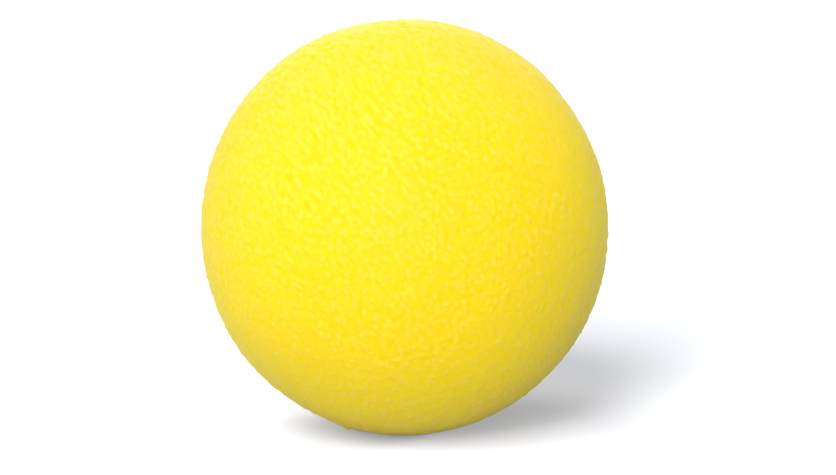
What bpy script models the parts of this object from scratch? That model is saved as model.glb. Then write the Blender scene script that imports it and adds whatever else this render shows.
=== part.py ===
"""Foam tennis ball: two plies of yellow foam, glued face to face and ground round.

Run with blender --background --python part.py, or from the text editor.
Units are metres and +Z is up. The origin is the centre of the flat that the ball settles on.
"""

from math import asin, cos, pi, radians, sin, sqrt

import bmesh
import bpy
from mathutils import Vector

# Driving dimensions
BALL_WIDTH = 0.0882  # across the equator
BALL_HEIGHT = 0.0900  # from pole to pole, before the foam settles
REST_FLAT_RADIUS = 0.0055  # the patch of foam that the ball's own weight flattens
BOND_LEAN = radians(12.0)  # how far the front ply's bond face tips up from vertical
GLUE_THICKNESS = 0.0003  # the dried film of adhesive between the plies
GLUE_SETBACK = 0.0003  # from the ground foam in to the film's edge
BOND_CLEARANCE = 0.0003  # between the film and each ply

# Smoothness of the turned surface
TURN_STEPS = 64
QUARTER_STEPS = 16  # along the profile, from pole to equator and from equator to flat

# Finishes: linear colour, roughness
FOAM_YELLOW = (0.95, 0.79, 0.03)
FOAM_ROUGHNESS = 0.95
GLUE_AMBER = (0.62, 0.42, 0.08)
GLUE_ROUGHNESS = 0.45
SMOOTH_ANGLE = radians(30.0)
MERGE_DISTANCE = 1e-6

# Sizes that follow from those above
CENTRE_HEIGHT = BALL_HEIGHT / 2 * sqrt(1 - (REST_FLAT_RADIUS / (BALL_WIDTH / 2)) ** 2)
FILM_FACE = GLUE_THICKNESS / 2
PLY_FACE = FILM_FACE + BOND_CLEARANCE
BOND_NORMAL = Vector((0.0, -cos(BOND_LEAN), sin(BOND_LEAN)))


def clear_scene():
    for old in list(bpy.data.objects):
        bpy.data.objects.remove(old)


def ball_profile(setback):
    """Points from the top pole down to the middle of the flat, set back from the ball's surface."""
    half_width = BALL_WIDTH / 2 - setback
    half_height = BALL_HEIGHT / 2 - setback
    flat_height = setback - CENTRE_HEIGHT
    flat_radius = half_width * sqrt(1 - (flat_height / half_height) ** 2)
    quarter = pi / 2
    last_quarter = quarter - asin(flat_radius / half_width)
    angles = [quarter * step / QUARTER_STEPS for step in range(QUARTER_STEPS)]
    angles += [quarter + last_quarter * step / QUARTER_STEPS for step in range(QUARTER_STEPS)]
    points = [Vector((half_width * sin(turn), 0.0, half_height * cos(turn))) for turn in angles]
    return points + [Vector((flat_radius, 0.0, flat_height)), Vector((0.0, 0.0, flat_height))]


def turned_ball(setback=0.0):
    """A closed ball about its own centre, turned from its profile."""
    ball = bmesh.new()
    corners = [ball.verts.new(point) for point in ball_profile(setback)]
    edges = [ball.edges.new(pair) for pair in zip(corners, corners[1:])]
    bmesh.ops.spin(
        ball,
        geom=corners + edges,
        cent=(0.0, 0.0, 0.0),
        axis=(0.0, 0.0, 1.0),
        angle=2 * pi,
        steps=TURN_STEPS,
        use_merge=True,
    )
    bmesh.ops.remove_doubles(ball, verts=ball.verts, dist=MERGE_DISTANCE)
    return ball


def keep_in_front(ball, distance, facing):
    """Slices the ball square to facing, this far from its centre, keeps the front and closes the cut."""
    bmesh.ops.bisect_plane(
        ball,
        geom=ball.verts[:] + ball.edges[:] + ball.faces[:],
        dist=MERGE_DISTANCE,
        plane_co=facing * distance,
        plane_no=facing,
        clear_inner=True,
    )
    rim = [edge for edge in ball.edges if edge.is_boundary]
    bmesh.ops.holes_fill(ball, edges=rim, sides=0)


def finish(name, colour, roughness):
    material = bpy.data.materials.new(name)
    material.use_nodes = True
    shader = material.node_tree.nodes["Principled BSDF"]
    shader.inputs["Base Color"].default_value = (*colour, 1.0)
    shader.inputs["Roughness"].default_value = roughness
    shader.inputs["Metallic"].default_value = 0.0
    return material


def add_piece(name, shape, material, centre):
    """Makes an object of the shape, which is left empty, and hangs it on the ball's centre."""
    bmesh.ops.recalc_face_normals(shape, faces=shape.faces)
    mesh = bpy.data.meshes.new(name)
    shape.to_mesh(mesh)
    shape.free()
    mesh.shade_smooth()
    mesh.set_sharp_from_angle(angle=SMOOTH_ANGLE)
    mesh.materials.append(material)
    piece = bpy.data.objects.new(name, mesh)
    bpy.context.collection.objects.link(piece)
    piece.parent = centre


def add_foam_ply(name, facing, centre):
    ply = turned_ball()
    keep_in_front(ply, PLY_FACE, facing)
    add_piece(name, ply, finish(name + "_foam", FOAM_YELLOW, FOAM_ROUGHNESS), centre)


def add_glue_film(name, centre):
    film = turned_ball(GLUE_SETBACK)
    for facing in (BOND_NORMAL, -BOND_NORMAL):
        keep_in_front(film, -FILM_FACE, facing)
    add_piece(name, film, finish(name + "_adhesive", GLUE_AMBER, GLUE_ROUGHNESS), centre)


def main():
    clear_scene()
    centre = bpy.data.objects.new("ball_centre", None)
    centre.location.z = CENTRE_HEIGHT
    bpy.context.collection.objects.link(centre)
    add_foam_ply("front_foam_half", BOND_NORMAL, centre)
    add_foam_ply("rear_foam_half", -BOND_NORMAL, centre)
    add_glue_film("glue_film", centre)


main()
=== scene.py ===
"""A foam tennis ball, dressed: two plies of cut-cell foam, bonded and ground round, on a white sweep."""

import logging
import math
from dataclasses import dataclass, field
from enum import Enum

import bpy
import numpy as np
from mathutils import Euler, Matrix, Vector
from mathutils.geometry import delaunay_2d_cdt
from mathutils.kdtree import KDTree


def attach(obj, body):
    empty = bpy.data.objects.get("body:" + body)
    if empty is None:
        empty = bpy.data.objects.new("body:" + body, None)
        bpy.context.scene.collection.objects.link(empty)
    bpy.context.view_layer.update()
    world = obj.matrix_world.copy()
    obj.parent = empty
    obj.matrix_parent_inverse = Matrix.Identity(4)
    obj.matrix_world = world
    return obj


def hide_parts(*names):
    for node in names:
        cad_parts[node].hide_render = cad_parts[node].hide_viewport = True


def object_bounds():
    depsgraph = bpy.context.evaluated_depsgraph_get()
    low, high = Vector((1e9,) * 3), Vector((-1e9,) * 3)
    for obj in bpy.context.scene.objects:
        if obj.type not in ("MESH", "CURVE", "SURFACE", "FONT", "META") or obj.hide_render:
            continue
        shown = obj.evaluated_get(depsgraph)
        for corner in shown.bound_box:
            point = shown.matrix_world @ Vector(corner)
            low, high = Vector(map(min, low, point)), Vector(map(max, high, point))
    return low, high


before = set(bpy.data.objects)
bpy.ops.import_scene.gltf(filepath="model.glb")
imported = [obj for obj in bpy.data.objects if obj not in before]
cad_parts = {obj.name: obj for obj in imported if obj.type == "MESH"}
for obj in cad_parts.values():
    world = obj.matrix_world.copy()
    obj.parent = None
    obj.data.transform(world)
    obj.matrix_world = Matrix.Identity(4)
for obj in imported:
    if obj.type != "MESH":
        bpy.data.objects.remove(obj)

CAD_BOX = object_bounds()
BAKE_MAP = "OFBake"
LOG = logging.getLogger("foam_tennis_ball")

# What the foam's material reads from its mesh: the tufts' height, for a painted sheen on the struts' paler
# ends, and the pores' depth, for painted shade
FRAYED_SHEEN = "frayed_sheen"
SUNK = "sunk"

MM = 0.001
ACROSS = np.array([1.0, 0.0, 0.0])  # level, and in the bond
FULL_TURN = 2 * math.pi
UNIT_BALL_AREA = 4 * math.pi  # the surface of a ball of radius one
GOLDEN_TURN = math.pi * (1 + math.sqrt(5))
HEXAGON_SHARE = math.sqrt(3) / 2  # area of a hexagonal cell over the square of its pitch
SAME_POINT = 1e-12  # points of a flat map that lie nearer than this are one
FILLED_HULL = 0  # asks for triangles that fill the hull of the points
NOISE_DETAIL = 3.0  # how many finer layers a noise adds to its first
WHITE = (1.0, 1.0, 1.0, 1.0)


def linear(code: str) -> tuple[float, float, float, float]:
    """Turns an sRGB hex colour to the linear colour that a shader takes.

    Args:
        code: the colour as six hex digits after a hash.

    Returns:
        Linear red, green, blue and a full alpha.
    """
    channels = [int(code[at : at + 2], 16) / 255 for at in (1, 3, 5)]
    red, green, blue = [c / 12.92 if c <= 0.04045 else ((c + 0.055) / 1.055) ** 2.4 for c in channels]
    return red, green, blue, 1.0


def add_node(
    tree: bpy.types.NodeTree,
    kind: str,
    inputs: dict[str | int, object] | None = None,
    **settings: object,
) -> bpy.types.Node:
    """Adds a node, with its settings, its values and its links.

    Args:
        tree: the node tree it goes into.
        kind: Blender's name for the kind of node.
        inputs: what each input socket takes, by name or number: a value, or another node's output.
        settings: the node's own properties.

    Returns:
        The new node.
    """
    node = tree.nodes.new(kind)
    for name, value in settings.items():
        setattr(node, name, value)
    for socket, value in (inputs or {}).items():
        if isinstance(value, bpy.types.NodeSocket):
            tree.links.new(value, node.inputs[socket])
        else:
            node.inputs[socket].default_value = value
    return node


def new_material(name: str) -> bpy.types.Material:
    """Adds a material with an empty node tree.

    Args:
        name: the material's name.

    Returns:
        The new material.
    """
    made = bpy.data.materials.new(name)
    made.use_nodes = True
    made.node_tree.nodes.clear()
    return made


def seen_rays(tree: bpy.types.NodeTree) -> bpy.types.NodeSocket:
    """Adds nodes that tell what is looked at from what only gives light.

    Args:
        tree: the node tree they go into.

    Returns:
        A socket that is 1 for the camera, for reflections and through glass, and 0 for other light.
    """
    path = add_node(tree, "ShaderNodeLightPath")
    seen = path.outputs["Is Camera Ray"]
    for kind in ("Is Glossy Ray", "Is Transmission Ray"):
        either = {0: seen, 1: path.outputs[kind]}
        seen = add_node(tree, "ShaderNodeMath", either, operation="MAXIMUM").outputs[0]
    return seen


def add_object(name: str, data: bpy.types.ID) -> bpy.types.Object:
    """Adds an object to the scene.

    Args:
        name: the object's name.
        data: its mesh, lamp or lens.

    Returns:
        The new object.
    """
    made = bpy.data.objects.new(name, data)
    bpy.context.scene.collection.objects.link(made)
    return made


def unit(vectors: np.ndarray) -> np.ndarray:
    """Scales each row to length one."""
    return vectors / np.linalg.norm(vectors, axis=-1, keepdims=True)


def towards(turn: float, rise: float) -> np.ndarray:
    """Finds a direction out from the ball's centre.

    Args:
        turn: degrees from the front round to the right, seen from above.
        rise: degrees up from the level.

    Returns:
        The unit vector that way.
    """
    turn, rise = math.radians(turn), math.radians(rise)
    return np.array([math.sin(turn) * math.cos(rise), -math.cos(turn) * math.cos(rise), math.sin(rise)])


class Ply(Enum):
    """The two plies, by the solid that each one stands for."""

    FRONT = "front_foam_half"
    REAR = "rear_foam_half"

    @property
    def outward(self) -> int:
        """Which way the ply lies from the bond: 1 for the front one, -1 for the rear one."""
        return 1 if self is Ply.FRONT else -1


@dataclass(frozen=True)
class BallForm:
    """The ground ball: a slightly tall spheroid that sits on a small flat."""

    flat_radius: float = 5.5 * MM
    bond_lean: float = math.radians(12.0)

    @property
    def half_width(self) -> float:
        """Half the width, from the frame."""
        return (CAD_BOX[1][1] - CAD_BOX[0][1]) / 2

    @property
    def half_height(self) -> float:
        """Half the height from pole to pole, which the flat cuts short."""
        share = math.sqrt(1 - (self.flat_radius / self.half_width) ** 2)
        return (CAD_BOX[1][2] - CAD_BOX[0][2]) / (1 + share)

    @property
    def floor(self) -> float:
        """The level of the flat."""
        return CAD_BOX[0][2]

    @property
    def centre(self) -> np.ndarray:
        """The middle of the spheroid."""
        return np.array([0.0, 0.0, CAD_BOX[1][2] - self.half_height])

    @property
    def bond_normal(self) -> np.ndarray:
        """The way that the front ply faces, square to the bond."""
        return np.array([0.0, -math.cos(self.bond_lean), math.sin(self.bond_lean)])

    def surface(self, ways: np.ndarray, lift: np.ndarray | float) -> np.ndarray:
        """Places points on the ball's surface, or above or below it.

        Args:
            ways: unit vectors from the centre of a ball with no stretch.
            lift: how far each point stands out of the surface; below zero is inside.

        Returns:
            The points.
        """
        axes = np.array([self.half_width, self.half_width, self.half_height])
        return self.centre + ways * axes + unit(ways / axes) * np.reshape(lift, (-1, 1))


@dataclass(frozen=True)
class CutCellFoam:
    """Open-cell polyurethane foam, dyed in the mass and ground round with an abrasive wheel.

    The wheel tears the cells open into a dull nap of tufts, the ends of torn struts, over deeper pores.
    The tufts' tops are painted paler, the struts' paler ends with a painted sheen, and the pores a deeper
    gold, which is painted shade. Light wanders for millimetres through the cells before it comes back out,
    which evens out all but the bluest light and softens every shadow.
    """

    # the tufts' tops: the struts' paler ends, with a painted sheen
    tip_and_sheen: str = "#FED946"
    body: str = "#FDD708"
    # the pores' floors: a deeper gold, painted shade where light is caught between the cells
    pore_and_shade: str = "#FCD401"
    tip_roughness: float = 0.45
    pore_roughness: float = 0.65
    ior: float = 1.5
    specular: float = 0.09
    glow_depth: tuple[float, float, float] = (2.0 * MM, 1.9 * MM, 0.25 * MM)
    dye_patch: float = 7.0 * MM  # from one richer patch of dye to the next
    dye_swing: float = 0.2
    cell_width: float = 0.5 * MM  # one cell of the foam, about the finest that shows
    cell_swing: float = 0.2
    strut_relief: float = 0.02 * MM

    def material(self) -> bpy.types.Material:
        """Builds the foam's nodes.

        Returns:
            The material, which reads how far each point is sunk in a pore, where it paints shade, and how
            high it stands on a tuft, where it paints a sheen on the struts' paler ends.
        """
        made = new_material("ground_polyurethane_foam")
        tree = made.node_tree
        sunk = add_node(tree, "ShaderNodeAttribute", attribute_name=SUNK)
        frayed_sheen = add_node(tree, "ShaderNodeAttribute", attribute_name=FRAYED_SHEEN)
        place = add_node(tree, "ShaderNodeTexCoord").outputs["Object"]
        dye = add_node(
            tree,
            "ShaderNodeTexNoise",
            {"Vector": place, "Scale": 1 / self.dye_patch, "Detail": NOISE_DETAIL},
        )
        cells = add_node(tree, "ShaderNodeTexVoronoi", {"Vector": place, "Scale": 1 / self.cell_width})
        dyed = add_node(
            tree,
            "ShaderNodeMapRange",
            {"Value": dye.outputs["Fac"], "To Min": -self.dye_swing, "To Max": self.dye_swing},
        )
        grain = add_node(
            tree,
            "ShaderNodeMapRange",
            {"Value": cells.outputs["Distance"], "To Min": -self.cell_swing, "To Max": self.cell_swing},
        )
        richer = add_node(tree, "ShaderNodeMath", {0: dyed.outputs[0], 1: grain.outputs[0]})
        share = add_node(
            tree,
            "ShaderNodeMath",
            {0: sunk.outputs["Fac"], 1: richer.outputs[0]},
            use_clamp=True,
        )
        # the ground goes from the body colour to the pores' painted shade, with random dye and cell grain
        ground = add_node(
            tree,
            "ShaderNodeMix",
            {0: share.outputs[0], "A": linear(self.body), "B": linear(self.pore_and_shade)},
            data_type="RGBA",
        )
        # the tufts' tops are painted paler: the struts' ends, with a painted sheen
        tone = add_node(
            tree,
            "ShaderNodeMix",
            {0: frayed_sheen.outputs["Fac"], "A": ground.outputs[2], "B": linear(self.tip_and_sheen)},
            data_type="RGBA",
        )
        dullness = add_node(
            tree,
            "ShaderNodeMapRange",
            {"Value": share.outputs[0], "To Min": self.tip_roughness, "To Max": self.pore_roughness},
        )
        relief = add_node(
            tree,
            "ShaderNodeBump",
            {"Height": cells.outputs["Distance"], "Distance": self.strut_relief},
            invert=True,
        )
        shader = add_node(
            tree,
            "ShaderNodeBsdfPrincipled",
            {
                "Base Color": tone.outputs[2],
                "Roughness": dullness.outputs[0],
                "Normal": relief.outputs[0],
                "IOR": self.ior,
                "Specular IOR Level": self.specular,
                "Subsurface Weight": 1.0,
                "Subsurface Radius": self.glow_depth,
                "Subsurface Scale": 1.0,
            },
        )
        add_node(tree, "ShaderNodeOutputMaterial", {"Surface": shader.outputs[0]})
        return made


@dataclass(frozen=True)
class DriedAdhesive:
    """Contact adhesive, brushed on both plies, pressed together and dried to an amber film.

    Only its edge shows, as a thin satin line that is darker where the film is thicker.
    """

    thin: str = "#F5D03C"
    thick: str = "#E4BA3A"
    roughness: float = 0.4
    ior: float = 1.47
    streak: float = 1.5 * MM  # from one thick place to the next along the edge

    def material(self) -> bpy.types.Material:
        """Builds the adhesive's nodes.

        Returns:
            The material.
        """
        made = new_material("dried_contact_adhesive")
        tree = made.node_tree
        place = add_node(tree, "ShaderNodeTexCoord").outputs["Object"]
        run = add_node(
            tree,
            "ShaderNodeTexNoise",
            {"Vector": place, "Scale": 1 / self.streak, "Detail": NOISE_DETAIL},
        )
        tone = add_node(
            tree,
            "ShaderNodeMix",
            {0: run.outputs["Fac"], "A": linear(self.thin), "B": linear(self.thick)},
            data_type="RGBA",
        )
        shader = add_node(
            tree,
            "ShaderNodeBsdfPrincipled",
            {"Base Color": tone.outputs[2], "Roughness": self.roughness, "IOR": self.ior},
        )
        add_node(tree, "ShaderNodeOutputMaterial", {"Surface": shader.outputs[0]})
        return made


@dataclass(frozen=True)
class Flaw:
    """A small fault in the ground surface, where a cell burst or a shred of foam hangs on."""

    turn: float  # from the front round to the right, in degrees
    tilt: float  # up from the equator, in degrees
    radius: float
    lift: float  # at its middle; below zero is a hollow

    @property
    def way(self) -> np.ndarray:
        """The unit vector towards its middle."""
        return towards(self.turn, self.tilt)


@dataclass(frozen=True)
class Strewn:
    """Soft mounds or hollows that the wheel left all over the foam."""

    pitch: float  # from one to the next
    radius: float  # where the height has fallen to about a third
    height: float  # of the highest, or the depth of the deepest
    skew: float  # above 1, most are low and a few are high


@dataclass
class Skin:
    """A ply's ground surface, point by point."""

    ways: np.ndarray  # a unit vector towards each point, from the ball's centre
    lift: np.ndarray  # its height over the ball's surface
    frayed_sheen: np.ndarray  # 1 on the tufts' tops, painted pale: the torn struts' ends with a painted sheen
    sunk: np.ndarray  # 1 in the deepest pores, which are painted a deeper gold as shade


@dataclass(frozen=True)
class MapDisc:
    """A round place in the bake map, a square whose sides are 1."""

    middle: float  # across and up alike
    radius: float

    def put(self, flat: np.ndarray) -> np.ndarray:
        """Puts points of a disc of radius one into this place."""
        return self.middle + self.radius * flat


# Where a ply's outside and its bond face lie in the bake map, clear of each other
OUTSIDE_PLACE = MapDisc(middle=0.5, radius=0.49)
BOND_PLACE = MapDisc(middle=0.09, radius=0.08)


@dataclass
class FoamPly:
    """One ply of foam: half a ball, with a nap of cut cells outside and the bond face inside."""

    ply: Ply
    ball: BallForm
    seed: int
    flaws: tuple[Flaw, ...] = ()
    mesh_pitch: float = 0.385 * MM
    mesh_stray: float = 0.15  # how far a point strays from an even lattice, over the pitch
    tufts: Strewn = Strewn(pitch=1.0 * MM, radius=0.36 * MM, height=0.2 * MM, skew=1.2)
    pores: Strewn = Strewn(pitch=1.3 * MM, radius=0.4 * MM, height=0.15 * MM, skew=1.2)
    scatter: float = 0.7  # how far a tuft or pore strays, over its pitch
    spin_axis: tuple[float, float, float] = (0.82, 0.12, 0.56)  # the ball turned on it against the wheel
    nap_stretch: float = 1.15  # tufts and pores are drawn out this much round it
    nap_end: tuple[float, float, float] = (-0.4, -0.4, 0.82)  # where the wheel left the ball
    nap_pull: float = 1.4  # how much further they are drawn out there
    nap_fade: int = 4  # the higher, the nearer to that place
    level: float = -0.3 * MM  # of the ground between the tufts
    clump: float = 0.03 * MM  # rises that neighbouring tufts make together
    clump_length: float = 3.5 * MM
    waviness: float = 0.08 * MM  # the broad unevenness of the whole ply
    wave_length: float = 24.0 * MM
    wave_spread: tuple[float, float] = (0.7, 1.3)  # how many rises to a wave length, least and most
    wave_count: int = 48
    bond_gap: float = 0.17 * MM  # from the middle of the bond to the ply's face
    bond_groove: float = 0.1 * MM  # how far the foam along the bond is worn down
    groove_width: float = 0.4 * MM
    reach: float = 2.2  # how far a mound counts, over its radius
    draw: np.random.Generator = field(init=False, repr=False)
    facing: np.ndarray = field(init=False, repr=False)  # square to the bond, into the ply

    def __post_init__(self) -> None:
        """Starts the ply's own random draws and finds which way it lies."""
        self.draw = np.random.default_rng(self.seed)
        self.facing = self.ball.bond_normal * self.ply.outward

    def angle(self, length: float) -> float:
        """The angle that a length on the surface fills, seen from the ball's centre."""
        return length / self.ball.half_width

    def lattice(self, pitch: float, stray: float) -> np.ndarray:
        """Spreads points evenly over the ply, and then a little at random.

        Args:
            pitch: from one point to the next.
            stray: how far a point strays, over the pitch.

        Returns:
            A unit vector towards each point.
        """
        count = int(UNIT_BALL_AREA / (HEXAGON_SHARE * self.angle(pitch) ** 2))
        step = np.arange(count) + 0.5  # the middles of equal bands from pole to pole
        height = 1 - 2 * step / count
        ring = np.sqrt(1 - height**2)
        turn = GOLDEN_TURN * step
        even = np.stack([ring * np.cos(turn), ring * np.sin(turn), height], 1)
        ways = unit(even + self.draw.uniform(-1, 1, even.shape) * self.angle(stray * pitch))
        return ways[ways @ self.facing > self.angle(self.bond_gap + self.mesh_pitch / 2)]

    def bond_rim(self) -> np.ndarray:
        """Sets points along the edge of the bond.

        Returns:
            A unit vector towards each one, in order round the edge.
        """
        count = int(FULL_TURN / self.angle(self.mesh_pitch))
        turn = np.arange(count)[:, None] * FULL_TURN / count
        return np.cos(turn) * ACROSS + np.sin(turn) * np.cross(self.facing, ACROSS)

    def flat_map(self, ways: np.ndarray) -> np.ndarray:
        """Lays directions out flat, by a projection that keeps circles round.

        Args:
            ways: unit vectors.

        Returns:
            Two coordinates for each; the edge of the bond is the circle of radius one.
        """
        up = np.cross(self.facing, ACROSS)
        ahead = 1 + ways @ self.facing
        return np.stack([ways @ ACROSS / ahead, ways @ up / ahead], 1)

    def heaped(self, ways: np.ndarray, near: KDTree, strewn: Strewn) -> np.ndarray:
        """Sums up the mounds or hollows of one kind.

        Args:
            ways: a unit vector towards each point.
            near: the same points, to be searched.
            strewn: the mounds.

        Returns:
            Their height at each point.
        """
        middles = self.lattice(strewn.pitch, self.scatter)
        heights = strewn.height * self.draw.random(len(middles)) ** strewn.skew
        lies = unit(np.cross(self.spin_axis, middles))
        pulled = np.maximum(middles @ unit(np.array(self.nap_end)), 0) ** self.nap_fade
        stretches = self.nap_stretch + self.nap_pull * pulled
        radius = self.angle(strewn.radius)
        total = np.zeros(len(ways))
        for middle, lie, height, stretch in zip(middles, lies, heights, stretches):
            found = [at for _, at, _ in near.find_range(middle, self.reach * stretch * radius)]
            apart = ways[found] - middle
            square = np.sum(apart**2, axis=1) - (1 - 1 / stretch**2) * (apart @ lie) ** 2
            total[found] += height * np.exp(-square / radius**2)
        return total

    def ripple(self, ways: np.ndarray, wave_length: float) -> np.ndarray:
        """Works out a random, even unevenness.

        Args:
            ways: unit vectors.
            wave_length: from one rise to the next.

        Returns:
            A height for each direction, about 1 at the rises.
        """
        count = self.wave_count
        pull = unit(self.draw.normal(size=(count, 3))) * FULL_TURN / self.angle(wave_length)
        pull *= self.draw.uniform(*self.wave_spread, (count, 1))
        phase = self.draw.uniform(0, FULL_TURN, count)
        return np.cos(ways @ pull.T + phase).sum(1) / math.sqrt(count / 2)

    def flaw_lift(self, ways: np.ndarray) -> np.ndarray:
        """Works out how far the flaws lift or sink the surface.

        Args:
            ways: unit vectors.

        Returns:
            A height for each direction.
        """
        lift = np.zeros(len(ways))
        for flaw in self.flaws:
            apart = np.linalg.norm(ways - flaw.way, axis=1) / self.angle(flaw.radius)
            lift += flaw.lift * np.exp(-(apart**2))
        return lift

    def skin(self) -> Skin:
        """Raises the tufts out of the ground surface and sinks the pores into it.

        Returns:
            The surface, whose last points are the edge of the bond.
        """
        ways = np.concatenate([self.lattice(self.mesh_pitch, self.mesh_stray), self.bond_rim()])
        near = KDTree(len(ways))
        for at, way in enumerate(ways):
            near.insert(way, at)
        near.balance()
        raised = self.heaped(ways, near, self.tufts)
        sunk = self.heaped(ways, near, self.pores)
        flawed = self.flaw_lift(ways)
        uneven = self.waviness * self.ripple(ways, self.wave_length)
        uneven += self.clump * self.ripple(ways, self.clump_length)
        groove = self.bond_groove * np.exp(-((ways @ self.facing / self.angle(self.groove_width)) ** 2))
        lift = self.level + uneven + raised - sunk + flawed - groove
        # the flaws' pits count as pores, so they too get the painted shade
        hollow = sunk + np.maximum(-flawed, 0)
        return Skin(
            ways,
            lift,
            frayed_sheen=np.clip(raised / self.tufts.height, 0, 1),
            sunk=np.clip(hollow / self.pores.height, 0, 1),
        )

    def build(self, finish: bpy.types.Material) -> bpy.types.Object:
        """Builds the ply and dresses it.

        Args:
            finish: the foam.

        Returns:
            The piece, riding the ball and standing for the ply's solid.
        """
        skin = self.skin()
        points = self.ball.surface(skin.ways, skin.lift)
        offset = (points - self.ball.centre) @ self.facing
        points += np.maximum(self.bond_gap - offset, 0)[:, None] * self.facing
        points[:, 2] = np.maximum(points[:, 2], self.ball.floor)
        flat = self.flat_map(skin.ways)
        flat_points = [Vector(point) for point in flat]
        outside = np.array(delaunay_2d_cdt(flat_points, [], [], FILLED_HULL, SAME_POINT, False)[2])
        middle = self.ball.centre + self.facing * self.bond_gap
        rim_count = len(self.bond_rim())
        rim = np.arange(len(points) - rim_count, len(points))
        bond_face = np.stack([np.roll(rim, -1), rim, np.full(rim_count, len(points))], 1)

        mesh = bpy.data.meshes.new(self.ply.value + "_foam")
        mesh.from_pydata(np.concatenate([points, middle[None]]), [], np.concatenate([outside, bond_face]))
        # the bond face, between the plies, takes the full painted shade of the pores and none of the sheen
        for name, values, in_bond in ((FRAYED_SHEEN, skin.frayed_sheen, 0.0), (SUNK, skin.sunk, 1.0)):
            layer = mesh.attributes.new(name, "FLOAT", "POINT")
            layer.data.foreach_set("value", np.append(values, in_bond).astype(np.float32))
        flat = np.concatenate([flat, np.zeros((1, 2))])
        places = [OUTSIDE_PLACE.put(flat[outside.ravel()]), BOND_PLACE.put(flat[bond_face.ravel()])]
        bake_map = mesh.uv_layers.new(name=BAKE_MAP)
        bake_map.data.foreach_set("uv", np.concatenate(places).ravel().astype(np.float32))
        mesh.materials.append(finish)
        mesh.shade_smooth()
        piece = add_object("cut_" + self.ply.value, mesh)
        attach(piece, "root")
        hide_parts(self.ply.value)
        return piece


@dataclass
class GlueLine:
    """The film of adhesive between the plies, pressed out to an uneven edge along the joint."""

    ball: BallForm
    seed: int
    half_thickness: float = 0.14 * MM
    setback: float = 0.36 * MM  # from the ground surface in to the edge
    wander: float = 0.06 * MM  # how far the edge strays in and out
    wave_numbers: tuple[int, int] = (20, 140)  # how often in one round, from the first to below the second
    bead: float = 0.12 * MM  # how far the rounded edge stands out of the film
    steps: int = 900

    def build(self, finish: bpy.types.Material) -> bpy.types.Object:
        """Builds the film and dresses it.

        Args:
            finish: the adhesive.

        Returns:
            The piece, riding the ball and standing for the film's solid.
        """
        draw = np.random.default_rng(self.seed)
        turn = np.arange(self.steps) * FULL_TURN / self.steps
        normal = self.ball.bond_normal
        up = np.cross(normal, ACROSS)
        ways = np.cos(turn)[:, None] * ACROSS + np.sin(turn)[:, None] * up
        waves = np.arange(*self.wave_numbers)
        size = draw.normal(size=len(waves)) / math.sqrt(len(waves))
        phase = draw.uniform(0, FULL_TURN, len(waves))
        wander = self.wander * (size * np.cos(turn[:, None] * waves + phase)).sum(1)
        edge = self.ball.surface(ways, -self.setback + wander)
        shoulder = self.ball.surface(ways, -self.setback - self.bead + wander)
        off = normal * self.half_thickness
        rings = [shoulder + off, edge, shoulder - off]
        caps = [self.ball.centre + off, self.ball.centre - off]
        points = np.concatenate([*rings, np.array(caps)])
        here = np.arange(self.steps)
        ahead = np.roll(here, -1)
        last = (len(rings) - 1) * self.steps
        front = last + self.steps
        back = front + 1
        faces = [np.stack([here, ahead, np.full(self.steps, front)], 1)]
        for upper in range(0, last, self.steps):
            lower = upper + self.steps
            faces.append(np.stack([upper + here, lower + here, upper + ahead], 1))
            faces.append(np.stack([upper + ahead, lower + here, lower + ahead], 1))
        faces.append(np.stack([last + ahead, last + here, np.full(self.steps, back)], 1))

        mesh = bpy.data.meshes.new("glue_line")
        mesh.from_pydata(points, [], np.concatenate(faces))
        mesh.materials.append(finish)
        mesh.shade_smooth()
        piece = add_object("glue_line", mesh)
        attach(piece, "root")
        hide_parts("glue_film")
        return piece


class Falls(Enum):
    """What a light falls on. Flags keep it off the rest, as in a studio."""

    BALL = "ball"
    SWEEP = "sweep"


@dataclass(frozen=True)
class Softbox:
    """A broad, even light, far from the ball."""

    name: str
    turn: float  # degrees from the camera's side round to the right, seen from above
    rise: float  # degrees over the floor
    strength: float
    spread: float  # the degrees that the light fills, seen from the ball
    falls: Falls = Falls.BALL

    @property
    def shines(self) -> Vector:
        """The way that the light travels."""
        return Vector(-towards(self.turn, self.rise))


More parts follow.
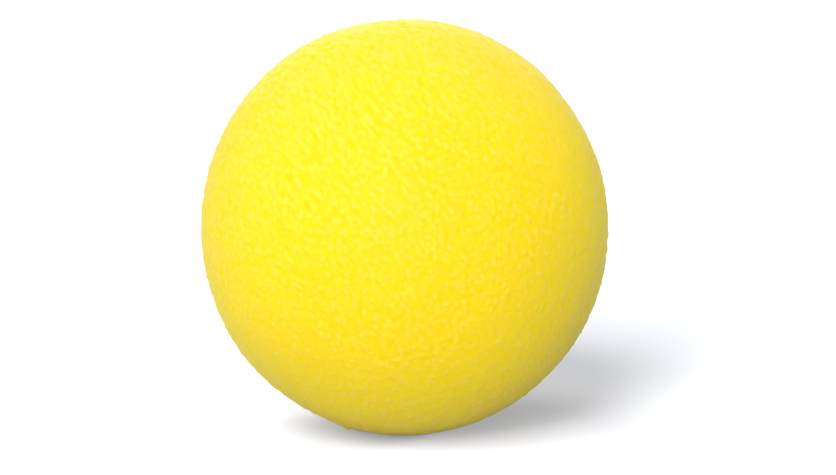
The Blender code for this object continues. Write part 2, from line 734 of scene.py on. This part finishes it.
@dataclass
class Studio:
    """The white sweep, the soft light and the camera."""

    ball: BallForm
    image_px: tuple[int, int] = (836, 475)
    ball_px: tuple[float, float] = (404.7, 227.3)  # its middle in the image
    ball_half_width_px: float = 205.1
    elevation: float = math.radians(9.0)
    lens_mm: float = 100.0
    sensor_mm: float = 36.0
    clip_start: float = 10.0 * MM
    softboxes: tuple[Softbox, ...] = (
        Softbox("key_softbox", turn=-43.0, rise=40.0, strength=0.2, spread=20.0),
        Softbox("side_softbox", turn=-95.0, rise=18.0, strength=0.74, spread=40.0),
        Softbox("front_softbox", turn=-7.0, rise=16.0, strength=2.85, spread=40.0),
        Softbox("top_softbox", turn=-15.0, rise=50.0, strength=0.3, spread=40.0),
        Softbox("rear_softbox", turn=130.0, rise=58.0, strength=0.85, spread=40.0),
        Softbox("back_softbox", turn=180.0, rise=12.0, strength=1.0, spread=50.0),
        Softbox("sweep_light", turn=-25.0, rise=38.0, strength=7.6, spread=35.0, falls=Falls.SWEEP),
        Softbox("low_sweep_light", turn=-25.0, rise=14.0, strength=7.3, spread=22.0, falls=Falls.SWEEP),
        Softbox("right_sweep_light", turn=110.0, rise=8.0, strength=9.6, spread=14.0, falls=Falls.SWEEP),
        Softbox("high_sweep_light", turn=-120.0, rise=60.0, strength=1.75, spread=35.0, falls=Falls.SWEEP),
    )
    fill: float = 0.33  # the strength of the even light from all round
    paper: str = "#9E9FA2"  # as it is looked at, together with the glow
    paper_glow: str = "#727479"  # the light that shines through the paper from below
    paper_bounce: str = "#666666"  # as it lights the ball
    floor_side: float = 12.0  # in metres

    def add_camera(self) -> None:
        """Sets the camera where the ball fills the photograph's frame."""
        per_px = self.sensor_mm / self.lens_mm / self.image_px[0]
        spread = math.atan(self.ball_half_width_px * per_px)
        distance = self.ball.half_width / math.sin(spread)
        back = Vector((0.0, -math.cos(self.elevation), math.sin(self.elevation)))
        up = Vector((0.0, math.sin(self.elevation), math.cos(self.elevation)))
        aside = (self.image_px[0] / 2 - self.ball_px[0]) * per_px * distance
        below = (self.image_px[1] / 2 - self.ball_px[1]) * per_px * distance
        lens = bpy.data.cameras.new("camera")
        lens.lens = self.lens_mm
        lens.sensor_width = self.sensor_mm
        lens.clip_start = self.clip_start
        camera = add_object("camera", lens)
        camera.location = Vector(self.ball.centre) + back * distance + Vector((aside, 0, 0)) - up * below
        camera.rotation_euler = Euler((math.pi / 2 - self.elevation, 0, 0))
        bpy.context.scene.camera = camera

    def add_light(self, lit: dict[Falls, list[bpy.types.Object]]) -> None:
        """Adds the softboxes and an even white fill.

        Args:
            lit: the objects that each kind of light falls on.
        """
        groups = {falls: bpy.data.collections.new("lit_" + falls.value) for falls in lit}
        for falls, group in groups.items():
            for each in lit[falls]:
                group.objects.link(each)
        for softbox in self.softboxes:
            lamp = bpy.data.lights.new(softbox.name, "SUN")
            lamp.energy = softbox.strength
            lamp.angle = math.radians(softbox.spread)
            placed = add_object(softbox.name, lamp)
            placed.rotation_euler = softbox.shines.to_track_quat("-Z", "Y").to_euler()
            placed.light_linking.receiver_collection = groups[softbox.falls]
        world = bpy.data.worlds.new("white_room")
        bpy.context.scene.world = world
        world.use_nodes = True
        tree = world.node_tree
        tree.nodes.clear()
        strength = add_node(
            tree, "ShaderNodeMapRange", {"Value": seen_rays(tree), "To Min": self.fill, "To Max": 1.0}
        )
        light = add_node(tree, "ShaderNodeBackground", {"Color": WHITE, "Strength": strength.outputs[0]})
        add_node(tree, "ShaderNodeOutputWorld", {"Surface": light.outputs[0]})

    def add_floor(self) -> bpy.types.Object:
        """Adds the white sweep, which shows white and keeps the ball's shadow.

        Returns:
            The sweep.
        """
        made = new_material("white_paper")
        tree = made.node_tree
        seen = seen_rays(tree)
        tone = add_node(
            tree,
            "ShaderNodeMix",
            {0: seen, "A": linear(self.paper_bounce), "B": linear(self.paper)},
            data_type="RGBA",
        )
        paper = add_node(tree, "ShaderNodeBsdfDiffuse", {"Color": tone.outputs[2]})
        glow = add_node(tree, "ShaderNodeEmission", {"Color": linear(self.paper_glow), "Strength": seen})
        both = add_node(tree, "ShaderNodeAddShader", {0: paper.outputs[0], 1: glow.outputs[0]})
        add_node(tree, "ShaderNodeOutputMaterial", {"Surface": both.outputs[0]})
        side, low = self.floor_side / 2, self.ball.floor
        corners = [(-side, -side, low), (side, -side, low), (side, side, low), (-side, side, low)]
        mesh = bpy.data.meshes.new("floor")
        mesh.from_pydata(corners, [], [(0, 1, 2, 3)])
        mesh.materials.append(made)
        floor = add_object("floor", mesh)
        return floor


FLAWS = (
    Flaw(turn=50.1, tilt=53.1, radius=1.3 * MM, lift=-0.4 * MM),  # a burst cell high on the right
    Flaw(turn=79.1, tilt=56.8, radius=0.9 * MM, lift=-0.3 * MM),  # a row of coarser cells near the rim
    Flaw(turn=69.1, tilt=51.6, radius=0.9 * MM, lift=-0.3 * MM),
    Flaw(turn=71.9, tilt=46.7, radius=0.9 * MM, lift=-0.3 * MM),
    Flaw(turn=68.0, tilt=43.8, radius=0.9 * MM, lift=-0.25 * MM),
    Flaw(turn=-49.9, tilt=-68.4, radius=0.6 * MM, lift=0.75 * MM),  # a shred that hangs on low at the left
)


def main() -> None:
    """Builds the ball, its light and its camera."""
    logging.basicConfig(level=logging.INFO)
    bpy.context.scene.view_settings.view_transform = "Standard"
    ball = BallForm()
    studio = Studio(ball)
    studio.add_camera()
    floor = studio.add_floor()
    foam = CutCellFoam().material()
    pieces = [
        FoamPly(Ply.FRONT, ball, seed=11, flaws=FLAWS).build(foam),
        FoamPly(Ply.REAR, ball, seed=12).build(foam),
        GlueLine(ball, seed=13).build(DriedAdhesive().material()),
    ]
    for piece in pieces:
        LOG.info("%s: %d triangles", piece.name, len(piece.data.polygons))
    studio.add_light({Falls.SWEEP: [floor], Falls.BALL: pieces})


if __name__ == "__main__":
    main()
